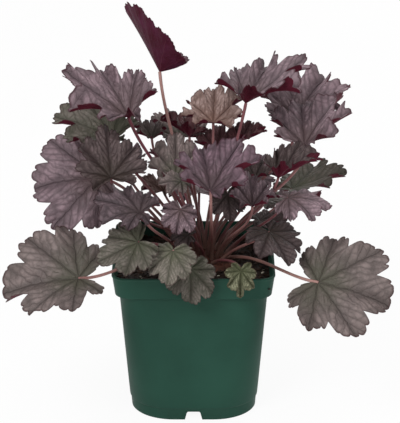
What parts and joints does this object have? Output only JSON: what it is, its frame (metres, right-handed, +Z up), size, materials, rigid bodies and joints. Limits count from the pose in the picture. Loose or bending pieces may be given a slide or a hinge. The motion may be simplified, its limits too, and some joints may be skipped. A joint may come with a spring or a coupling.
{
  "type": "potted coral bells plant",
  "caption": "Bushy heuchera with ruffled, lobed purple-grey leaves on thin red stalks, growing from soil in a square tapered green plastic nursery pot.",
  "frame": {"origin": "middle of the pot's footprint, on the ground", "axes": "+Z up along the pot's axis, -Y out of the pot's front, +X to the viewer's right"},
  "size_m": [0.2713, 0.1971, 0.2859],
  "materials": {
    "pot_plastic": "satin moulded, dark green",
    "soil": "rough, dark and crumbly",
    "crown": "rough, fibrous",
    "leaf_purple": "matt mauve with darker veins",
    "leaf_grey": "matt grey-mauve with darker veins",
    "leaf_green": "matt grey-green with darker veins",
    "leaf_olive": "matt olive, burgundy below",
    "leaf_dark": "matt dark brown-purple",
    "leaf_burgundy": "satin burgundy underside"
  },
  "bodies": {
    "root": {"pot": "pot_plastic", "potting_soil": "soil", "crown": "crown", "leaf_top_fan": "leaf_burgundy", "leaf_upper_left": "leaf_purple", "leaf_left_green": "leaf_green", "leaf_broad_left": "leaf_purple", "leaf_dark_left": "leaf_dark", "leaf_left_lower": "leaf_purple", "leaf_side_left": "leaf_grey", "leaf_side_right": "leaf_grey", "leaf_rim_left": "leaf_green", "leaf_rim_front": "leaf_green", "leaf_rim_middle": "leaf_dark", "leaf_front_drape": "leaf_green", "leaf_rim_curled": "leaf_olive", "leaf_right_lower": "leaf_dark", "leaf_right_cup": "leaf_dark", "leaf_right_blade": "leaf_green", "leaf_right_purple": "leaf_purple", "leaf_high_right": "leaf_purple", "leaf_high_back": "leaf_grey", "leaf_high_middle": "leaf_purple", "leaf_pleated_top": "leaf_olive", "leaf_burgundy_back": "leaf_dark", "leaf_upper_middle": "leaf_grey", "leaf_pleated_centre": "leaf_grey", "leaf_front_purple": "leaf_purple", "leaf_small_upper": "leaf_dark", "leaf_puckered_right": "leaf_purple", "leaf_edge_right": "leaf_dark", "leaf_dark_centre": "leaf_dark", "leaf_star": "leaf_purple", "leaf_brown_centre": "leaf_olive", "leaf_grey_centre": "leaf_grey", "leaf_back_left": "leaf_purple", "leaf_back_high": "leaf_grey", "leaf_back_right": "leaf_purple", "leaf_low_back_left": "leaf_green", "leaf_low_back_right": "leaf_grey", "leaf_low_back": "leaf_purple", "leaf_dark_right": "leaf_dark", "leaf_inner_back": "leaf_dark"}
  },
  "joints": []
}
